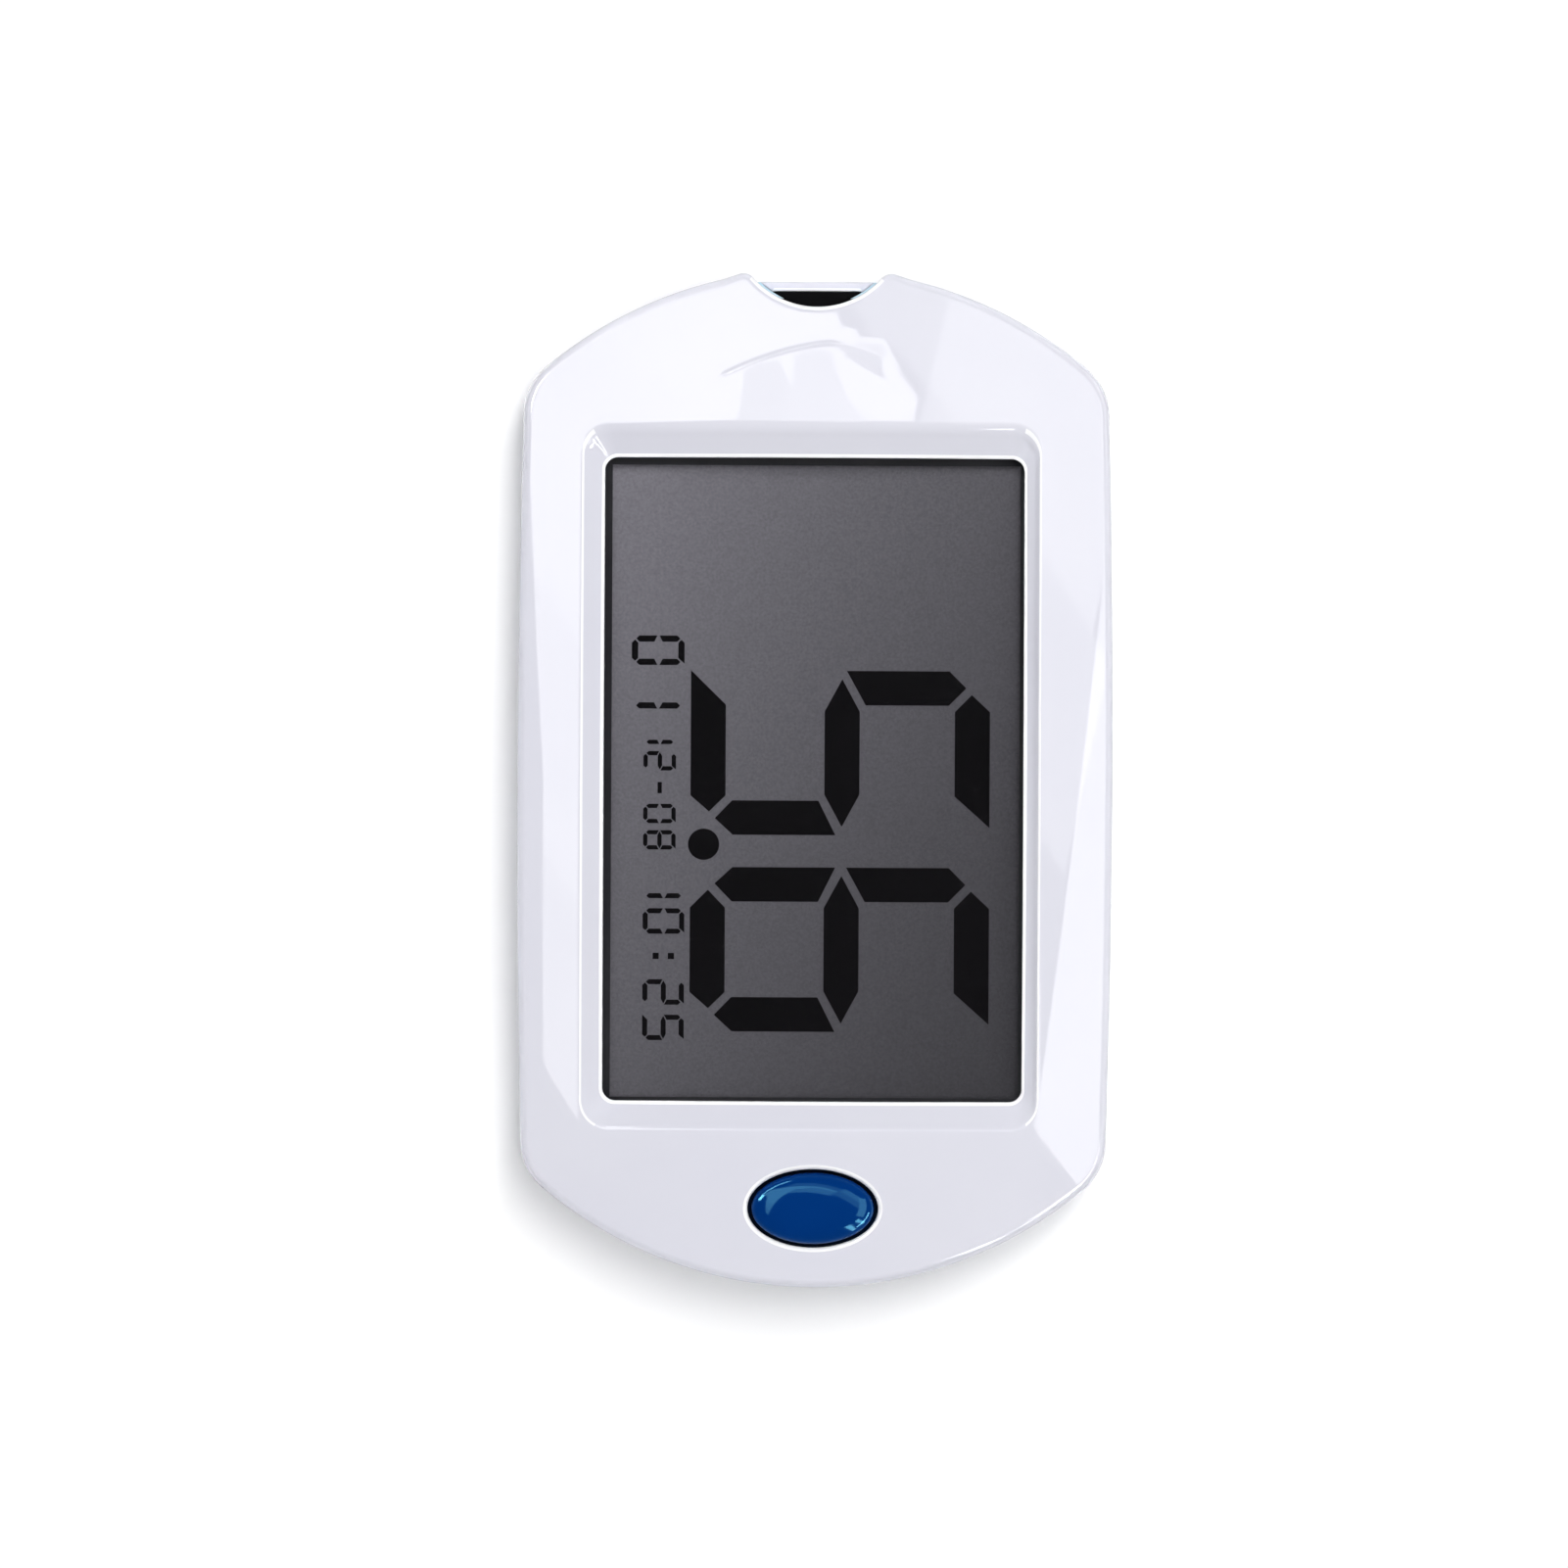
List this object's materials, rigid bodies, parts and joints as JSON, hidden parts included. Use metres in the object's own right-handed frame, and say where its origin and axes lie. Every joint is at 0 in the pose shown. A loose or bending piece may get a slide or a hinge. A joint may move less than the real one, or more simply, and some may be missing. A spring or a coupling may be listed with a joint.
{
  "type": "blood glucose meter",
  "caption": "Hand-held blood glucose meter with a large display, a test-strip port in its top end, an oval thumb button and a sliding battery door.",
  "frame": {"origin": "middle of the base, on the plane the rubber feet stand on", "axes": "+Y towards the strip port, +Z out of the display, +X to the display's right as the port points away from the user"},
  "size_m": [0.0588, 0.1, 0.0182],
  "materials": {
    "shell_plastic": "glossy",
    "rear_plastic": "satin",
    "clear_window": "clear",
    "gasket_foam": "matte",
    "cell_glass": "anti-glare",
    "segment_ink": "matte",
    "reflector_foil": "satin",
    "frame_plastic": "matte",
    "zebra_rubber": "matte",
    "board": "satin",
    "chip_black": "matte",
    "metal_can": "brushed",
    "capacitor_ceramic": "matte",
    "button_blue": "glossy",
    "plunger_plastic": "matte",
    "port_black": "matte",
    "gold_contact": "polished",
    "guide_clear_blue": "clear",
    "cell_steel": "polished",
    "spring_bronze": "satin",
    "screw_steel": "plated",
    "foot_rubber": "matte"
  },
  "bodies": {
    "housing": {"front_housing": "shell_plastic", "rear_housing": "rear_plastic", "display_window": "clear_window", "dust_gasket": "gasket_foam", "lcd_front_glass": "cell_glass", "lcd_segments": "segment_ink", "lcd_rear_glass": "cell_glass", "lcd_reflector": "reflector_foil", "lcd_frame": "frame_plastic", "zebra_strips": "zebra_rubber", "circuit_board": "board", "processor_chip": "chip_black", "memory_chip": "chip_black", "crystal_oscillator": "metal_can", "buzzer": "chip_black", "temperature_sensor": "chip_black", "chip_resistors": "chip_black", "chip_capacitors": "capacitor_ceramic", "button_switch": "chip_black", "strip_connector": "port_black", "strip_contacts": "gold_contact", "port_guide": "guide_clear_blue", "coin_cell": "cell_steel", "battery_contact_negative": "spring_bronze", "battery_contact_positive": "spring_bronze", "housing_screws": "screw_steel", "board_screws": "screw_steel", "rubber_feet": "foot_rubber"},
    "button": {"button": "button_blue", "switch_plunger": "plunger_plastic"},
    "battery_door": {"battery_door": "rear_plastic"}
  },
  "joints": [
    {"name": "button_press", "type": "slide", "parent": "housing", "child": "button", "axis": [0, 0, -1], "range_m": [0, 0.0005], "stiffness_N_per_m": 2000, "springref_m": -0.0003},
    {"name": "battery_door_slide", "type": "slide", "parent": "housing", "child": "battery_door", "axis": [0, -1, 0], "range_m": [0, 0.042]}
  ]
}
